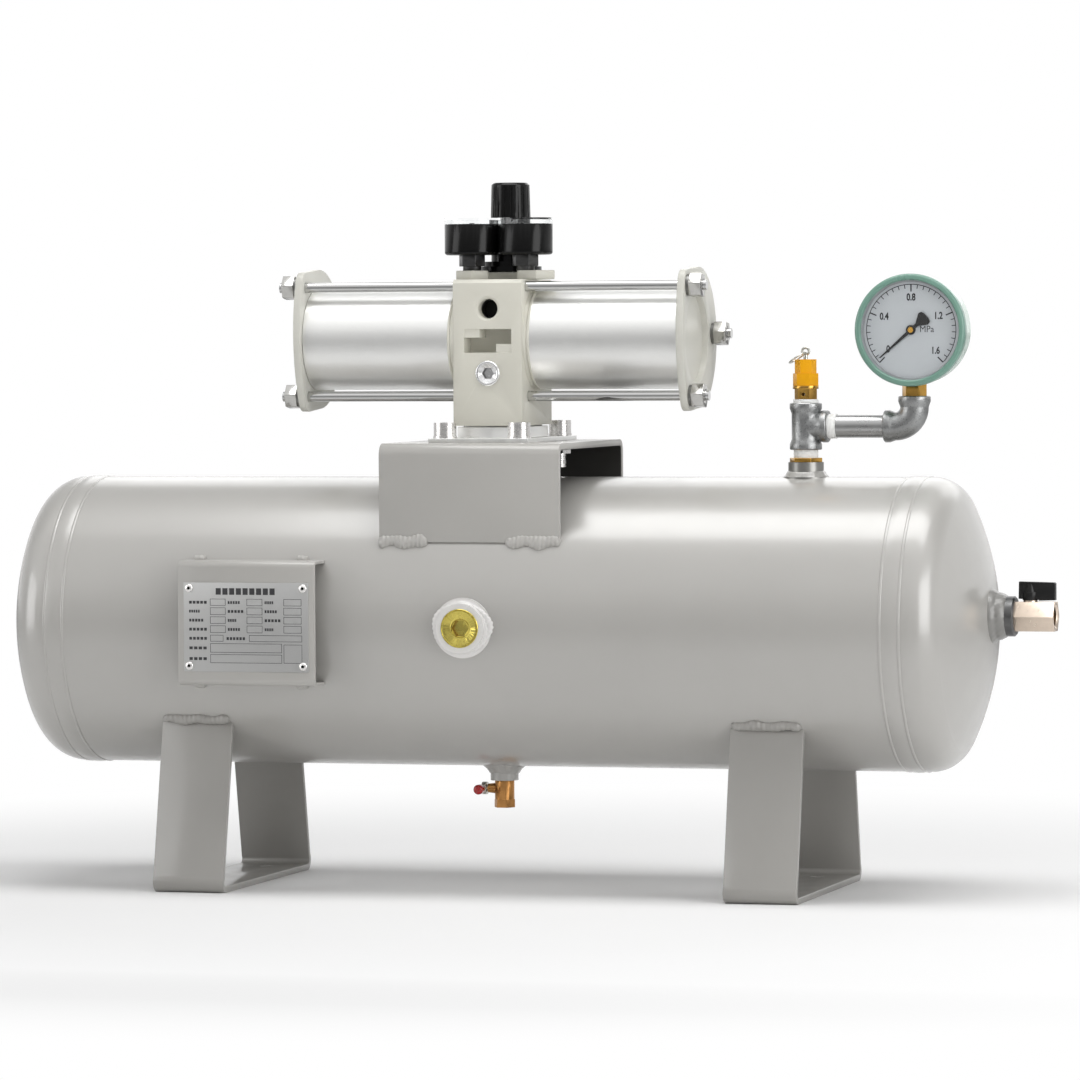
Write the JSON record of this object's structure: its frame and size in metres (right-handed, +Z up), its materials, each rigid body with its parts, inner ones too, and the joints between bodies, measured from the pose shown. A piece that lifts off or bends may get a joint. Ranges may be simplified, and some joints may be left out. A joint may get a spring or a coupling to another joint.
{
  "type": "air pressure booster with receiver tank",
  "caption": "Air pressure booster: a piston-driven pneumatic amplifier on a bracket over a horizontal receiver tank on bent-plate legs, with pressure gauge, safety, drain and outlet valves.",
  "frame": {"origin": "on the floor, in the middle of the four foot bolt holes", "axes": "+X along the tank towards the outlet valve, -Y to the front with the nameplate, +Z up"},
  "size_m": [1.0012, 0.2951, 0.6643],
  "materials": {
    "tank_paint": "satin warm grey paint",
    "bracket_paint": "satin warm grey paint",
    "bare_steel": "bare machined steel",
    "plate_aluminium": "brushed",
    "yellow_brass": "machined",
    "galvanised_iron": "rough galvanised malleable iron",
    "galvanised_pipe": "smooth galvanised",
    "thread_tape": "white sealing tape",
    "cap_paint": "orange-yellow enamel",
    "steel_wire": "bright wire",
    "case_paint": "pale green enamel",
    "bezel_paint": "grey-green enamel",
    "dial_white": "matt",
    "clear_glass": "clear",
    "pointer_black": "matt",
    "nickel_brass": "champagne nickel plate",
    "valve_steel": "polished",
    "handle_black": "moulded",
    "drain_bronze": "cast",
    "drain_steel": "plated",
    "grip_red": "dipped",
    "booster_paint": "satin beige-grey paint",
    "zinc_steel": "zinc plated",
    "foot_aluminium": "machined",
    "tube_aluminium": "satin anodised",
    "rod_chrome": "bright",
    "piston_steel": "ground",
    "piston_aluminium": "machined",
    "regulator_black": "moulded",
    "adapter_steel": "dark zinc"
  },
  "bodies": {
    "frame": {"tank_shell": "tank_paint", "tank_head_left": "tank_paint", "tank_head_right": "tank_paint", "girth_welds": "tank_paint", "leg_left": "bracket_paint", "leg_right": "bracket_paint", "booster_bracket": "bracket_paint", "nameplate_holder": "bracket_paint", "nameplate": "plate_aluminium", "nameplate_rivets": "plate_aluminium", "top_socket": "bare_steel", "front_socket": "bare_steel", "drain_socket": "tank_paint", "outlet_socket": "tank_paint", "front_plug": "yellow_brass", "hex_nipple": "yellow_brass", "pipe_tee": "galvanised_iron", "pipe_nipple": "galvanised_pipe", "pipe_elbow": "galvanised_iron", "thread_tape": "thread_tape", "safety_body": "yellow_brass", "safety_cap": "cap_paint", "gauge_stem": "yellow_brass", "gauge_case": "case_paint", "gauge_bezel": "bezel_paint", "gauge_dial": "dial_white", "gauge_glass": "clear_glass", "bourdon_tube": "yellow_brass", "valve_body": "nickel_brass", "drain_body": "drain_bronze", "booster_block": "booster_paint", "block_plug": "zinc_steel", "booster_foot": "foot_aluminium", "foot_screws": "zinc_steel", "tube_left": "tube_aluminium", "tube_right": "tube_aluminium", "cover_left": "booster_paint", "cover_right": "booster_paint", "tie_rods": "rod_chrome", "rod_nuts": "zinc_steel", "rod_washers": "zinc_steel", "regulator_base": "booster_paint", "regulator_bonnet": "regulator_black", "gauge_adapters": "adapter_steel", "small_cases": "regulator_black", "small_lenses": "clear_glass", "small_dials": "dial_white"},
    "piston": {"piston_rod": "piston_steel", "pistons": "piston_aluminium"},
    "knob": {"regulator_knob": "regulator_black"},
    "pointer": {"gauge_pointer": "pointer_black"},
    "small_pointer_left": {"small_pointer_left": "pointer_black"},
    "small_pointer_right": {"small_pointer_right": "pointer_black"},
    "valve_lever": {"valve_ball": "valve_steel", "valve_handle": "handle_black"},
    "drain_lever": {"drain_lever": "drain_steel", "drain_grip": "grip_red"},
    "safety_stem": {"safety_stem": "steel_wire"},
    "pull_ring": {"pull_ring": "steel_wire"}
  },
  "joints": [
    {"name": "piston_slide", "type": "slide", "parent": "frame", "child": "piston", "axis": [1, 0, 0], "range_m": [-0.036, 0.036]},
    {"name": "knob_turn", "type": "hinge", "parent": "frame", "child": "knob", "pos_m": [-0.0025, 0.025, 0.6413], "axis": [0, 0, 1], "continuous": true},
    {"name": "pointer_turn", "type": "hinge", "parent": "frame", "child": "pointer", "pos_m": [0.3927, -0.014, 0.5232], "axis": [0, 1, 0], "range_deg": [0, 270], "stiffness_Nm_per_rad": 0.0004, "springref_deg": -28.65},
    {"name": "small_pointer_left_turn", "type": "hinge", "parent": "frame", "child": "small_pointer_left", "pos_m": [-0.0286, -0.016, 0.6249], "axis": [0, 0, -1], "range_deg": [0, 270], "stiffness_Nm_per_rad": 0.0002, "springref_deg": -28.65},
    {"name": "small_pointer_right_turn", "type": "hinge", "parent": "frame", "child": "small_pointer_right", "pos_m": [0.0236, -0.016, 0.6249], "axis": [0, 0, -1], "range_deg": [0, 270], "stiffness_Nm_per_rad": 0.0002, "springref_deg": -28.65},
    {"name": "outlet_valve_turn", "type": "hinge", "parent": "frame", "child": "valve_lever", "pos_m": [0.50119, 0, 0.2788], "axis": [0, 0, 1], "range_deg": [0, 90]},
    {"name": "drain_valve_turn", "type": "hinge", "parent": "frame", "child": "drain_lever", "pos_m": [-0.0237, 0, 0.0927], "axis": [1, 0, 0], "range_deg": [0, 90]},
    {"name": "safety_lift", "type": "slide", "parent": "frame", "child": "safety_stem", "axis": [0, 0, 1], "range_m": [0, 0.003], "stiffness_N_per_m": 800, "springref_m": -0.004},
    {"name": "pull_ring_swing", "type": "hinge", "parent": "safety_stem", "child": "pull_ring", "pos_m": [0.2894, 0, 0.50305], "axis": [0, 1, 0], "range_deg": [0, 60]}
  ]
}
